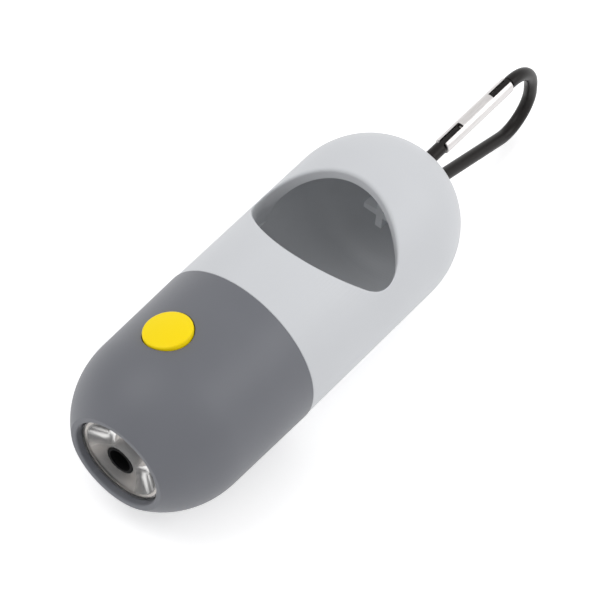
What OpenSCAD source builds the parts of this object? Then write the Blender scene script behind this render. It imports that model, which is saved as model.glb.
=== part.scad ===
// Capsule bag dispenser with a torch in one end and a carabiner at the other.
// It lies on its side: X runs along the capsule from the torch to the carabiner,
// Z is up through the middle of the window, and the capsule rests on Z = 0.
// Sizes are in millimetres.

/* [Capsule] */
// Largest diameter of the capsule
capsule_d = 44; // [40:0.5:52]
// Length of the capsule, from the torch face to the top of the dome
capsule_len = 114.2; // [110:0.2:132]
// Distance from the torch face to the seam between the halves
seam_s = 43.5; // [42.5:0.5:45]
// Gap between the two halves at the seam
seam_gap = 0.1; // [0.05:0.05:0.5]

/* [Torch shell] */
// How far in the side leans between the seam and the nose curve
nose_draft = 0.4; // [0.1:0.1:1]
// Length of the nose curve
nose_len = 18.5; // [16.5:0.1:20]
// Diameter of the flat face at the front
face_d = 26.4; // [26:0.1:30]
// Fullness of the nose curve, where 2 is an ellipse
nose_power = 2; // [1.8:0.1:2.6]
// Wall of the torch shell
torch_wall = 2; // [1.4:0.1:2.6]
// Thickness of the front wall behind the lens pocket
front_wall = 2; // [1.4:0.1:3]
// Height of the ledge that carries the neck collar
ledge_h = 1.6; // [1:0.1:2.4]
// Length of that ledge
ledge_len = 1.6; // [1:0.1:2.4]

/* [Lens and lamp] */
// Diameter of the lens flange
lens_d = 22.8; // [21:0.1:23.4]
// Clearance around the lens flange
lens_gap = 0.35; // [0.2:0.05:0.6]
// How far the lens sits behind the torch face
lens_set = 1.5; // [1.1:0.05:2]
// Thickness of the lens flange
lens_flange = 1; // [0.8:0.1:1.4]
// Depth of the lens cone behind the flange
lens_depth = 9.2; // [8:0.1:10]
// Width of the lens flange round the cone
lens_rim = 1.5; // [1.3:0.1:2]
// Radius of the lens cone at the lamp
lens_tail_r = 4.7; // [4.5:0.1:5.4]
// Diameter of the hole in the lens
lens_hole_d = 7.5; // [6:0.1:8]
// Thickness of the lens seal
seal_t = 0.5; // [0.3:0.1:1]
// Wall of the reflector
reflector_wall = 0.6; // [0.4:0.1:1]
// Gap between the lens and the reflector
reflector_gap = 0.3; // [0.2:0.05:0.5]
// Wall of the shroud in the lens hole
shroud_wall = 0.7; // [0.5:0.1:1]
// Diameter of the LED board
board_d = 18.4; // [16:0.1:19]
// Thickness of the LED board
board_t = 1.2; // [0.8:0.1:1.6]
// Side of the LED's square base
led_base_w = 3.5; // [3:0.1:4]
// Thickness of the LED's base
led_base_t = 0.8; // [0.5:0.1:1.2]
// Radius of the LED's dome
led_r = 1.4; // [1:0.1:1.7]

/* [Button and switch] */
// Distance from the torch face to the middle of the button
button_s = 24; // [23:0.1:26]
// Turn of the button away from the top line
button_turn = -15.8; // [-30:0.1:30]
// Diameter of the button
button_d = 11.8; // [10:0.1:12.4]
// Clearance between the button and its hole
button_gap = 0.25; // [0.15:0.05:0.4]
// How far the middle of the button stands out of the shell
button_proud = 1; // [0.6:0.1:1.6]
// How far the button's face falls from its middle to its edge
button_crown = 0.6; // [0.3:0.1:0.9]
// Wall of the button
button_wall = 1.2; // [0.8:0.1:1.6]
// Width of the flange that keeps the button in
button_flange = 1; // [0.6:0.1:1.2]
// Travel of the button
button_travel = 1; // [0.5:0.1:1.2]
// Diameter of the switch plunger
plunger_d = 3.2; // [2.4:0.1:4]
// Side of the switch body
switch_w = 7; // [6:0.5:8]
// Length of the button's stem, down to the switch plunger
button_stem = 1.3; // [0.8:0.1:1.8]
// Thickness of the switch board
switch_board_t = 1; // [0.8:0.1:1.4]
// Width of the switch board across the torch
switch_board_w = 8.8; // [8.4:0.1:9.6]
// Length of the switch board along the torch
switch_board_len = 9.2; // [8.6:0.1:10]

/* [Battery] */
// Diameter of a cell
cell_d = 11.6; // [10:0.1:12]
// Thickness of a cell
cell_t = 5.4; // [4.6:0.1:5.6]
// Number of cells
cell_count = 3; // [2:1:3]
// Clearance around the cells
cell_gap = 0.25; // [0.15:0.05:0.4]
// Wall of the battery tube
tray_wall = 1.25; // [1:0.05:1.6]
// Diameter of the tray's front platform
platform_d = 19.4; // [18.8:0.1:21]
// Thickness of the platform
platform_t = 1.4; // [1:0.1:2]
// Width of the tray's rear flange outside its screws
tray_flange_edge = 1.8; // [1.8:0.1:2.4]
// Thickness of the rear flange
tray_flange_t = 2; // [1.8:0.1:2.6]
// Thickness of the contact plates
contact_t = 0.4; // [0.3:0.05:0.6]
// Wire diameter of the battery spring
spring_wire = 0.6; // [0.4:0.05:0.8]
// Number of turns of the battery spring
spring_turns = 3; // [2:0.5:3]
// Width of the battery cover's rim outside its screws
cover_edge = 1.7; // [1.65:0.05:1.9]
// Thickness of the battery cover's rim
cover_t = 1.15; // [0.9:0.05:1.4]
// Distance from the cover's plug to the middle of its screws
cover_screw_inset = 1.7; // [1.5:0.05:1.9]
// Distance from the cover's edge to the middle of the tray screws
tray_screw_gap = 2.3; // [2.2:0.05:2.4]
// Distance from the neck's wall to the middle of the tray screws
tray_screw_inset = 2.2; // [2:0.05:2.4]
// Diameter of the screw heads
screw_head_d = 2.8; // [2.4:0.1:3]
// Thickness of the screw heads
screw_head_t = 0.8; // [0.6:0.1:1]
// Diameter of the screw shanks
screw_d = 1.6; // [1.2:0.1:1.8]
// Length of the screw shanks
screw_len = 5; // [4:0.5:6]
// Diameter of the lead wires
wire_d = 1; // [0.8:0.1:1.2]
// Distance of the lead wires from the axis
wire_r = 8.1; // [8.1:0.1:8.4]

/* [Threaded neck] */
// Thickness of the collar's floor
floor_t = 2; // [1.9:0.1:2.6]
// Depth of the floor below the seam
floor_set = 2; // [1.6:0.1:3]
// Length of the neck beyond the seam
neck_len = 10.5; // [9.5:0.1:12]
// Gap between the neck and the bore of the inner sleeve
neck_gap = 1.5; // [1.4:0.05:1.8]
// Wall of the neck
neck_wall = 1.25; // [1:0.05:1.5]
// Rise of the thread in one turn
thread_lead = 6; // [5.6:0.1:7]
// Height of the thread ridges
thread_h = 1; // [0.8:0.05:1.1]
// Width of a thread ridge at its foot
thread_w = 1.8; // [1.4:0.1:2.2]
// Turns of each thread ridge
thread_turns = 0.8; // [0.6:0.05:0.9]
// Thickness of the neck seal
neck_seal_t = 1.65; // [1.4:0.05:1.8]
// Depth of the groove for the neck seal
groove_depth = 0.35; // [0.2:0.05:0.5]

/* [Bag shell] */
// How far in the bag shell's side leans between the dome and the seam
mouth_draft = 0.15; // [0.05:0.05:0.5]
// Height of the dome
dome_h = 22.9; // [21.5:0.1:25]
// Wall of the bag shell
bag_wall = 1.8; // [1.4:0.1:2]
// Gap between the bag shell and the inner sleeve
sleeve_gap = 0.15; // [0.05:0.05:0.3]
// Wall of the inner sleeve
sleeve_wall = 1.2; // [0.9:0.1:1.3]
// Height of the inner sleeve's end
sleeve_dome_h = 12.2; // [11:0.1:13]

/* [Window] */
// Distance from the seam to the lowest point of the window
window_foot = 15.3; // [14.8:0.1:18]
// Length of the window along the capsule
window_len = 28.3; // [24:0.1:30]
// Radius of the window's lower edge
window_low_r = 21.4; // [20:0.1:26]
// Radius of the window's upper edge
window_top_r = 23.4; // [20:0.1:26]
// Radius of the window's side corners
window_side_r = 10.3; // [8:0.1:11]

/* [Roll spindle] */
// Diameter of the cross-shaped post
spindle_d = 9.5; // [9:0.1:12]
// Thickness of the post's arms
spindle_arm = 1.8; // [1.2:0.1:2.4]
// Length of the post
spindle_len = 5; // [4:0.5:12]
// Diameter of the post's foot
spindle_foot_d = 13; // [12:0.1:16]
// Thickness of the post's foot
spindle_foot_t = 1.2; // [0.8:0.1:2]

/* [Hang bar] */
// Diameter of the hang bar
bar_d = 5.3; // [4.4:0.1:5.4]
// Distance from the top of the dome to the middle of the bar
bar_set = 3; // [2.8:0.1:3.6]
// Distance of the bar from the axis, towards the lower side
bar_drop = 0.9; // [0:0.1:2]
// Clearance between the carabiner's rod and the bar or slot
slot_gap = 0.35; // [0.25:0.05:0.5]
// Swing of the carabiner to each side
swing_angle = 25; // [10:1:30]

/* [Carabiner] */
// Length of the carabiner
hook_len = 56; // [50:0.2:70]
// Width of the carabiner
hook_w = 25.5; // [23:0.1:27]
// Diameter of the carabiner's rod
rod_d = 3.4; // [3:0.1:3.6]
// Bend radius at the nose, to the middle of the rod
nose_bend_r = 11.3; // [10.6:0.1:12]
// Bend radius at the wide corner, to the middle of the rod
wide_bend_r = 8.5; // [8:0.1:9]
// How far the nose bend stands back from the end of the carabiner
nose_back = 0.35; // [0:0.05:1]
// Diameter of the gate
gate_d = 4.2; // [3.8:0.1:4.4]
// Distance from the bar to the shoulder at the gate's hinge
shoulder_len = 8.3; // [7:0.1:9]
// Distance from that shoulder to the hinge pin
hinge_set = 4.3; // [4.2:0.1:4.8]
// Gap between each end of the gate and the frame
gate_gap = 0.65; // [0.6:0.05:0.8]
// Length of the frame's tongue beyond the hinge pin
tongue_len = 3.1; // [2.6:0.1:4]
// Thickness of the frame's tongues
tongue_t = 1.3; // [1:0.1:1.4]
// Height of the frame's tongues
tongue_h = 3; // [2.4:0.1:3]
// Clearance between a tongue and its slot in the gate
tongue_gap = 0.2; // [0.12:0.02:0.3]
// Length of the nose tongue
nose_tongue_len = 7.2; // [6.4:0.1:8.4]
// Distance from the nose to the latch pin
latch_set = 4.7; // [3.6:0.1:5.4]
// Diameter of the hinge pin
hinge_pin_d = 1.2; // [1:0.1:1.4]
// Diameter of the latch pin
latch_pin_d = 1; // [0.8:0.1:1.2]
// Clearance around the latch pin in its notch
latch_gap = 0.25; // [0.15:0.05:0.4]
// Running clearance of the hinge pin in the gate
pin_play = 0.05; // [0.02:0.01:0.1]
// Seat clearance of a fixed pin
pin_seat = 0.02; // [0.01:0.01:0.04]
// Diameter of the gate spring
gate_spring_d = 1.8; // [1.4:0.1:2]
// Length of the gate spring
gate_spring_len = 8.5; // [6:0.5:10]

/* [Hidden] */
$fn = 64;

// Small clearances: a seat between two pieces that touch, a gap between two that stay apart,
// and a cut that runs past a face
seat = 0.05;
slack = 0.1;
past = 1;

// Colours
dark_grey = "#717379";
light_grey = "#d2d4d8";
liner_grey = "#66666a";
yellow = "#fce01c";
black = "#2b2827";
silver = "#c9c8c6";
brass = "#c9a14a";
board_green = "#2f6b45";

// Torch shell
shell_r = capsule_d / 2;
nose_r = shell_r - nose_draft;
face_r = face_d / 2;
nose_full = nose_len / pow(1 - pow(face_r / nose_r, nose_power), 1 / nose_power);
nose_steps = 28;
lens_pocket_r = lens_d / 2 + lens_gap;
lens_cone_r = lens_d / 2 - lens_rim;
lens_back_s = lens_set + lens_flange;
shoulder_s = lens_back_s + seal_t + seat;
front_bore_gap = 0.2;
front_bore_r = lens_cone_r + reflector_gap + reflector_wall + front_bore_gap;
cavity_s = shoulder_s + front_wall;

// Lamp
lens_tail_s = lens_back_s + lens_depth;
lens_hole_r = lens_hole_d / 2;
reflector_s = lens_back_s + slack;
lens_tail_gap = 0.25;
reflector_floor_s = lens_tail_s + lens_tail_gap;
reflector_floor_t = 1;
reflector_end_s = reflector_floor_s + reflector_floor_t;
board_s = reflector_end_s + slack;
platform_s = board_s + board_t + seat;
shroud_r = lens_hole_r - slack;

// Neck and floor
floor_s = seam_s - floor_set - floor_t;
floor_top_s = floor_s + floor_t;
ledge_s = floor_s;
collar_r = shell_r - torch_wall - seat;
shoulder_top_s = seam_s - seam_gap;
bore_r = shell_r - bag_wall - sleeve_gap - sleeve_wall;
neck_r = bore_r - neck_gap;
neck_in_r = neck_r - neck_wall;
neck_end_s = seam_s + neck_len;
neck_chamfer = 0.5;
groove_set = 0.6;
groove_s = seam_s + groove_set;
groove_gap = 0.25;
groove_w = neck_seal_t + groove_gap;
groove_r = neck_r - groove_depth;

// Battery
plug_gap = 0.3;
cover_gap = 0.3;
tube_in_r = cell_d / 2 + cell_gap;
tube_r = tube_in_r + tray_wall;
tray_flange_s = floor_s - tray_flange_t;
well_depth = 0.9;
tray_screw_r = neck_in_r - tray_screw_inset;
cover_r = tray_screw_r - tray_screw_gap;
cover_screw_r = cover_r - cover_edge;
plug_r = cover_screw_r - cover_screw_inset;
tray_flange_r = tray_screw_r + tray_flange_edge;
well_r = plug_r + slack;
well_s = floor_s - well_depth;
cell_end_s = well_s - slack;
cell_s = cell_end_s - cell_count * cell_t;
front_contact_s = platform_s + platform_t + seat;
rear_gap = 0.35;
rear_contact_s = cell_end_s + rear_gap;
plug_s = rear_contact_s + contact_t + seat;
cover_recess_r = cover_r + cover_gap;
cover_s = floor_top_s - cover_t;
spring_inset = 1.2;
spring_tip_r = 2.6;
head_recess = screw_head_t + slack;
head_gap = 0.2;
screw_gap = 0.15;
drive_w = 0.4;
contact_gap = 0.2;
screw_boss_r = 1.7;
screw_boss_len = 4;
screw_boss_s = floor_s - screw_boss_len;
tab_w = 2.4;
wire_side = platform_d / 8;
tray_screw_turn = 30;

// Button, measured outwards from the capsule's axis
shell_at_button = nose_r + (shell_r - nose_r) * (button_s - nose_len) / (seam_s - nose_len);
button_r = button_d / 2;
button_top = shell_at_button + button_proud;
button_edge = button_top - button_crown;
inner_at_flange = sqrt(pow(shell_at_button - torch_wall, 2) - pow(button_r + button_flange, 2));
button_flange_gap = 0.25;
button_flange_top = inner_at_flange - button_flange_gap;
button_flange_t = 0.9;
button_foot = button_flange_top - button_flange_t;
button_stem_r = 1.9;
button_stem_end = button_foot - button_stem;

// Switch, between the rails on the battery tube and the button's stem
rail_h = 1.3;
board_base = tube_r + rail_h;
board_top = board_base + switch_board_t;
switch_base = board_top + seat;
plunger_in = 2;
plunger_out = 1.2;
plunger_room = 0.3;
plunger_top = button_stem_end - seat;
switch_top = plunger_top - plunger_out;
button_cut = 12;

// Thread
thread_set = 0.4;
thread_s = groove_s + groove_w + thread_w / 2 + thread_set;
thread_in_r = bore_r - thread_h + slack;
thread_out_r = neck_r + thread_h;
thread_root = 0.12;
thread_crest = 0.55;
thread_play = 0.1;
thread_lag = thread_w * (1 + thread_crest) / 2 + thread_play;
thread_steps = 30;
thread_fade = 3;
thread_start = 0.15;

// Bag shell
bag_s = seam_s + seam_gap;
dome_s = capsule_len - dome_h;
dome_steps = 28;
bag_in_r = shell_r - bag_wall;
sleeve_r = bag_in_r - sleeve_gap;
sleeve_s = bag_s + slack;
sleeve_dome_set = 0.7;
sleeve_dome_s = dome_s + sleeve_dome_set;
sleeve_window_gap = 0.3;
window_s = seam_s + window_foot;
window_top_s = window_s + window_len;

// Window outline: two large arcs joined by two corner arcs
low_c = window_s + window_low_r;
top_c = window_top_s - window_top_r;
low_k = window_low_r - window_side_r;
top_k = window_top_r - window_side_r;
arc_d = low_c - top_c;
side_along = (pow(top_k, 2) - pow(low_k, 2) + pow(arc_d, 2)) / (2 * arc_d);
side_s = top_c + side_along;
side_y = sqrt(pow(top_k, 2) - pow(side_along, 2));
low_end = atan2(side_y, low_c - side_s);
top_end = atan2(side_y, side_s - top_c);
low_steps = 14;
side_steps = 10;
top_steps = 16;

// Spindle
sleeve_end_s = sleeve_dome_s + sleeve_dome_h;
sleeve_in_h = sleeve_dome_h - sleeve_wall;
foot_reach = sleeve_in_h * sqrt(1 - pow(spindle_foot_d / 2 / bore_r, 2));
spindle_foot_s = sleeve_dome_s + foot_reach - seat;

// Carabiner, drawn in the plane of the window's middle line: [along, up]
rod_r = rod_d / 2;
rod_sides = 20;
rod_step = 10;
bar_r = bar_d / 2;
bar_s = capsule_len - bar_set;
foot_bend_r = bar_r + slot_gap + rod_r;
bar_c = [bar_s, -bar_drop];
gate_y = bar_c[1] + foot_bend_r;
hook_end_s = bar_s - foot_bend_r - rod_r + hook_len;
wide_c = [hook_end_s - rod_r - wide_bend_r, gate_y - (hook_w - rod_d) + wide_bend_r];
nose_c = [hook_end_s - rod_r - nose_bend_r - nose_back, gate_y - nose_bend_r];
spine_turn = belt_turn(bar_c, foot_bend_r, wide_c, wide_bend_r);
end_turn = belt_turn(wide_c, wide_bend_r, nose_c, nose_bend_r);
hinge_shoulder_s = bar_s + shoulder_len;
hinge_s = hinge_shoulder_s + hinge_set;
nose_s = nose_c[0];
latch_s = nose_s - latch_set;
gate_start_s = hinge_shoulder_s + gate_gap;
gate_end_s = nose_s - gate_gap;
tongue_end_s = hinge_s + tongue_len;
slot_end_gap = 0.6;
gate_solid_s = tongue_end_s + slot_end_gap;
nose_tongue_s = nose_s - nose_tongue_len;
nose_slot_s = nose_tongue_s - slot_end_gap;
tongue_root = 1;
pin_set = 0.15;
fork_gap = tongue_t + 2 * tongue_gap;
slot_w = rod_d + 2 * slot_gap;
strip_len = 8;

// The capsule rests on its side, with the middle of its length over the origin
mid_s = hook_end_s / 2;

// Direction of the outward normal where a rod leaves one bend for the next, going round
// both with the bends on its left
function belt_turn(a, ra, b, rb) =
    let (d = b - a, far = norm(d))
    atan2(d[1], d[0]) - acos(-(rb - ra) / far);

// Radius of the torch nose, and of its cavity when inset is the wall
function nose_at(s, inset) =
    (nose_r - inset) * pow(1 - pow((nose_len - s) / (nose_full - inset), nose_power), 1 / nose_power);

// Points [radius, along] of an elliptical end, from its foot to its tip
function dome_points(r, h, from, steps) =
    [for (i = [0:steps]) [r * cos(90 * i / steps), from + h * sin(90 * i / steps)]];

// Outline of the window, grown by an offset: [across, along]
function arc_points(c, r, from, to, steps) =
    [for (i = [0:steps - 1]) let (a = from + (to - from) * i / steps) c + r * [cos(a), sin(a)]];
function window_points(grow) = concat(
    arc_points([0, low_c], window_low_r + grow, -90 - low_end, -90 + low_end, low_steps),
    arc_points([side_y, side_s], window_side_r + grow, -90 + low_end, 90 - top_end, side_steps),
    arc_points([0, top_c], window_top_r + grow, 90 - top_end, 90 + top_end, top_steps),
    arc_points([-side_y, side_s], window_side_r + grow, 90 + top_end, 270 - low_end, side_steps));

// Frame of the object: X along the capsule, Y up, Z towards the side the button leans from
module in_place() {
    translate([-mid_s, 0, shell_r]) rotate([90, 0, 0]) children();
}

// A profile of [radius, along] points, turned about the capsule's axis
module turned(points) {
    rotate([0, 90, 0]) rotate_extrude() polygon(points);
}

// A round bar along the capsule's axis
module along(r, from, to) {
    translate([from, 0, 0]) rotate([0, 90, 0]) cylinder(r = r, h = to - from);
}

// A round bar across the carabiner's plane, about its middle
module across(r, s, y, w) {
    translate([s, y, 0]) cylinder(r = r, h = w, center = true);
}

// A block between two distances along the capsule, centred across it
module block(from, to, low, high, w) {
    translate([from, low, -w / 2]) cube([to - from, high - low, w]);
}

// The button's own direction: Y points out of the shell through its middle
module at_button() {
    rotate([button_turn, 0, 0]) children();
}

// A round bar along the button's direction
module outwards(r, from, to) {
    translate([button_s, from, 0]) rotate([-90, 0, 0]) cylinder(r = r, h = to - from);
}

// A tube swept along a list of points, with its side directions given for each point
module swept(path, normals, binormals, r, sides) {
    n = len(path);
    ring_points = [for (i = [0:n - 1], k = [0:sides - 1])
        path[i] + r * (normals[i] * cos(360 * k / sides) + binormals[i] * sin(360 * k / sides))];
    side_faces = [for (i = [0:n - 2], k = [0:sides - 1])
        let (a = i * sides + k, b = i * sides + (k + 1) % sides)
        [a, b, b + sides, a + sides]];
    caps = [[for (k = [sides - 1:-1:0]) k], [for (k = [0:sides - 1]) (n - 1) * sides + k]];
    polyhedron(points = ring_points, faces = concat(side_faces, caps));
}

// One thread ridge: it stands between a root and a crest radius and fades in at both ends
module thread_ridge(root_r, crest_r) {
    rise = crest_r - root_r;
    steps = ceil(thread_steps * thread_turns);
    points = [for (i = [0:steps])
        let (t = thread_turns * i / steps,
            s = thread_s + thread_lead * t,
            fade = min(1, min(i, steps - i) / thread_fade + thread_start),
            crest = root_r + rise * fade,
            foot = thread_w / 2,
            top = foot * (1 - (1 - thread_crest) * fade))
        for (c = [[root_r, -foot], [crest, -top], [crest, top], [root_r, foot]])
            [s + c[1], c[0] * cos(360 * t), c[0] * sin(360 * t)]];
    sides = [for (i = [0:steps - 1], k = [0:3])
        let (a = 4 * i + k, b = 4 * i + (k + 1) % 4)
        [a, b, b + 4, a + 4]];
    ends = [[3, 2, 1, 0], [for (k = [0:3]) 4 * steps + k]];
    polyhedron(points = points, faces = rise > 0 ? concat(sides, ends)
        : [for (f = concat(sides, ends)) [for (k = [len(f) - 1:-1:0]) f[k]]]);
}

module torch_shell() {
    outer = concat([[0, 0]], [for (i = [0:nose_steps])
            let (s = nose_len * (1 - cos(90 * i / nose_steps))) [nose_at(s, 0), s]],
        [[shell_r, seam_s], [0, seam_s]]);
    inner = concat([[0, cavity_s]], [for (i = [0:nose_steps])
            let (s = cavity_s + (nose_len - cavity_s) * i / nose_steps) [nose_at(s, torch_wall), s]],
        [[shell_r - torch_wall, ledge_s - ledge_len - ledge_h],
            [shell_r - torch_wall - ledge_h, ledge_s - ledge_len],
            [shell_r - torch_wall - ledge_h, ledge_s], [shell_r - torch_wall, ledge_s],
            [shell_r - torch_wall, seam_s + past], [0, seam_s + past]]);
    color(dark_grey) in_place() difference() {
        turned(outer);
        turned(inner);
        along(lens_pocket_r, -past, shoulder_s);
        along(front_bore_r, shoulder_s - past, cavity_s + past);
        at_button() outwards(button_r + button_gap, button_cut, shell_r + past);
    }
}

module lens() {
    edge = 0.25;
    r = lens_d / 2;
    color("white", 0.4) in_place() turned([[lens_hole_r, lens_set], [r - edge, lens_set],
        [r, lens_set + edge], [r, lens_back_s], [lens_cone_r, lens_back_s],
        [lens_tail_r, lens_tail_s], [lens_hole_r, lens_tail_s]]);
}

module lens_seal() {
    color(black) in_place() difference() {
        along(lens_d / 2, lens_back_s + seat / 2, shoulder_s - seat / 2);
        along(front_bore_r, lens_back_s - past, shoulder_s + past);
    }
}

module reflector() {
    mouth_r = lens_cone_r + reflector_gap;
    tail_r = lens_tail_r + reflector_gap;
    color("silver") in_place() turned([[mouth_r, reflector_s], [mouth_r + reflector_wall, reflector_s],
        [mouth_r + reflector_wall, reflector_s + reflector_wall],
        [tail_r + reflector_wall, reflector_end_s], [lens_hole_r, reflector_end_s],
        [lens_hole_r, reflector_floor_s], [tail_r, reflector_floor_s]]);
}

module led_shroud() {
    color(black) in_place() difference() {
        along(shroud_r, lens_set, board_s - seat);
        along(shroud_r - shroud_wall, lens_set - past, board_s + past);
    }
}

module led() {
    base_s = board_s - seat / 2 - led_base_t;
    color("lightyellow") in_place() union() {
        block(base_s, base_s + led_base_t, -led_base_w / 2, led_base_w / 2, led_base_w);
        intersection() {
            translate([base_s, 0, 0]) sphere(r = led_r);
            along(led_r + past, base_s - led_r - past, base_s + led_base_t / 2);
        }
    }
}

module led_board() {
    color(board_green) in_place() along(board_d / 2, board_s, board_s + board_t);
}

module battery_tray() {
    rail_w = 0.8;
    rail_at = switch_board_w / 2 - rail_w;
    rail_set = 0.5;
    rail_len = switch_board_len - 2 * rail_set;
    tab_gap = 0.2;
    color(liner_grey) in_place() difference() {
        union() {
            along(platform_d / 2, platform_s, platform_s + platform_t);
            along(tube_r, platform_s, floor_s - seat);
            along(tray_flange_r, tray_flange_s, floor_s - seat);
            at_button() for (side = [-1, 1])
                translate([button_s - rail_len / 2, tube_r / 2, side * (rail_at + rail_w / 2) - rail_w / 2])
                    cube([rail_len, board_base - seat - tube_r / 2, rail_w]);
            for (a = [0, 180]) rotate([a, 0, 0])
                translate([0, 0, cover_screw_r]) along(screw_boss_r, screw_boss_s, floor_s - 2 * seat);
            for (a = [0:120:240]) rotate([a + tray_screw_turn, 0, 0])
                translate([0, tray_screw_r, 0]) along(screw_boss_r, screw_boss_s, floor_s - 2 * seat);
        }
        along(tube_in_r, platform_s + platform_t, floor_s + past);
        along(well_r, well_s, floor_s + past);
        cover_screw_places() along(screw_d / 2 + pin_seat, screw_boss_s - past, floor_s + past);
        tray_screw_places() along(screw_d / 2 + pin_seat, screw_boss_s - past, floor_s + past);
        at_button() block(front_contact_s - seat, front_contact_s + contact_t + 2 * seat,
            tube_in_r / 2, tube_r + past, tab_w + 2 * tab_gap);
        at_button() translate([0, wire_r, wire_side])
            along(wire_d / 2 + slack, platform_s - past, platform_s + platform_t + past);
        translate([0, -wire_r, 0]) along(wire_d / 2 + slack, platform_s - past, well_s + past);
    }
}

// The places of the screws on the floor
module cover_screw_places() {
    for (a = [0, 180]) rotate([a, 0, 0]) translate([0, 0, cover_screw_r]) children();
}

module tray_screw_places() {
    for (a = [0:120:240]) rotate([a + tray_screw_turn, 0, 0]) translate([0, tray_screw_r, 0]) children();
}

module front_contact() {
    leaf_lap = 1.5;
    leaf_top = board_base - slack;
    color(silver) in_place() union() {
        along(tube_in_r - contact_gap, front_contact_s, front_contact_s + contact_t);
        at_button() block(front_contact_s, front_contact_s + contact_t, 0, leaf_top, tab_w);
        at_button() block(front_contact_s, button_s - switch_board_len / 2 + leaf_lap,
            leaf_top - contact_t, leaf_top, tab_w);
    }
}

module battery_spring() {
    from = front_contact_s + contact_t + spring_wire / 2 + seat;
    rise = cell_s - seat - spring_wire / 2 - from;
    wide = tube_in_r - spring_inset;
    turn_steps = 16;
    wire_sides = 6;
    steps = spring_turns * turn_steps;
    turn = [for (i = [0:steps]) 360 * spring_turns * i / steps];
    path = [for (i = [0:steps])
        let (r = wide + (spring_tip_r - wide) * i / steps)
        [from + rise * i / steps, r * cos(turn[i]), r * sin(turn[i])]];
    color(silver) in_place() swept(path,
        [for (a = turn) [0, cos(a), sin(a)]], [for (a = turn) [1, 0, 0]], spring_wire / 2, wire_sides);
}

module button_cells() {
    edge = 0.4;
    cap_set = 0.9;
    cap_h = 0.3;
    cap_gap = 0.02;
    r = cell_d / 2;
    color(silver) in_place() for (i = [0:cell_count - 1])
        translate([cell_s + i * cell_t, 0, 0]) turned([[0, cap_gap], [r - cap_set, cap_gap],
            [r - cap_set, cap_h], [r - edge, cap_h], [r, cap_h + edge], [r, cell_t], [0, cell_t]]);
}

module rear_contact() {
    color(silver) in_place() along(well_r - contact_gap, rear_contact_s, rear_contact_s + contact_t);
}

module switch_board() {
    half = switch_board_len / 2;
    color(board_green) in_place() at_button()
        block(button_s - half, button_s + half, board_base, board_top, switch_board_w);
}

module switch_body() {
    half = switch_w / 2;
    color(black) in_place() at_button() difference() {
        block(button_s - half, button_s + half, switch_base, switch_top, switch_w);
        outwards(plunger_d / 2 + slack, switch_top - plunger_in - plunger_room, switch_top + past);
    }
}

module switch_plunger() {
    color("white") in_place() at_button()
        outwards(plunger_d / 2, switch_top - plunger_in + button_travel, plunger_top);
}

module button() {
    crown_r = (pow(button_r, 2) + pow(button_crown, 2)) / (2 * button_crown);
    edge = 0.35;
    steps = 10;
    in_r = button_r - button_wall;
    top = [for (i = [0:steps])
        let (r = (button_r - edge) * i / steps)
        [r, button_top - crown_r + sqrt(pow(crown_r, 2) - pow(r, 2))]];
    color(yellow) in_place() at_button() translate([button_s, 0, 0]) rotate([-90, 0, 0]) difference() {
        rotate_extrude() polygon(concat([[0, button_foot]], [[button_r + button_flange, button_foot],
            [button_r + button_flange, button_flange_top], [button_r, button_flange_top],
            [button_r, button_edge - edge]], [for (i = [steps:-1:0]) top[i]]));
        rotate_extrude() polygon([[button_stem_r, button_foot - past], [in_r, button_foot - past],
            [in_r, button_edge - button_wall], [button_stem_r, button_edge - button_wall]]);
    }
    color(yellow) in_place() at_button() outwards(button_stem_r, button_stem_end, button_foot + button_wall);
}

module lead_wires() {
    lead = 0.7;
    wire_sides = 8;
    bend_s = platform_s + platform_t + lead;
    end_s = button_s - switch_board_len / 2 - seat;
    path = [[board_s + board_t + seat / 2, wire_r, wire_side], [bend_s, wire_r, wire_side],
        [end_s, (board_base + board_top) / 2, wire_side]];
    rise = atan2(path[2][1] - path[1][1], path[2][0] - path[1][0]);
    color("firebrick") in_place() at_button()
        swept(path, [for (a = [0, rise / 2, 0]) [-sin(a), cos(a), 0]],
            [for (p = path) [0, 0, -1]], wire_d / 2, wire_sides);
    color("black") in_place() translate([0, -wire_r, 0])
        along(wire_d / 2, board_s + board_t + seat / 2, rear_contact_s - seat / 2);
}

module neck_collar() {
    color(liner_grey) in_place() difference() {
        union() {
            turned([[plug_r + plug_gap, floor_s], [collar_r, floor_s], [collar_r, shoulder_top_s],
                [neck_r, shoulder_top_s], [neck_r, groove_s], [groove_r, groove_s],
                [groove_r, groove_s + groove_w], [neck_r, groove_s + groove_w],
                [neck_r, neck_end_s - neck_chamfer], [neck_r - neck_chamfer, neck_end_s],
                [neck_in_r, neck_end_s], [neck_in_r, floor_top_s], [plug_r + plug_gap, floor_top_s]]);
            thread_ridge(neck_r - thread_root, thread_out_r);
        }
        along(cover_recess_r, cover_s - seat, floor_top_s + past);
        cover_screw_places() along(screw_d / 2 + screw_gap, floor_s - past, floor_top_s);
        tray_screw_places() along(screw_d / 2 + screw_gap, floor_s - past, floor_top_s);
        tray_screw_places() along(screw_head_d / 2 + head_gap, floor_top_s - head_recess, floor_top_s + past);
    }
}

module neck_seal() {
    r = neck_seal_t / 2;
    color(black) in_place() translate([groove_s + groove_w / 2, 0, 0]) rotate([0, 90, 0])
        rotate_extrude() translate([groove_r + pin_seat + r, 0]) circle(r = r, $fn = 32);
}

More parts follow.
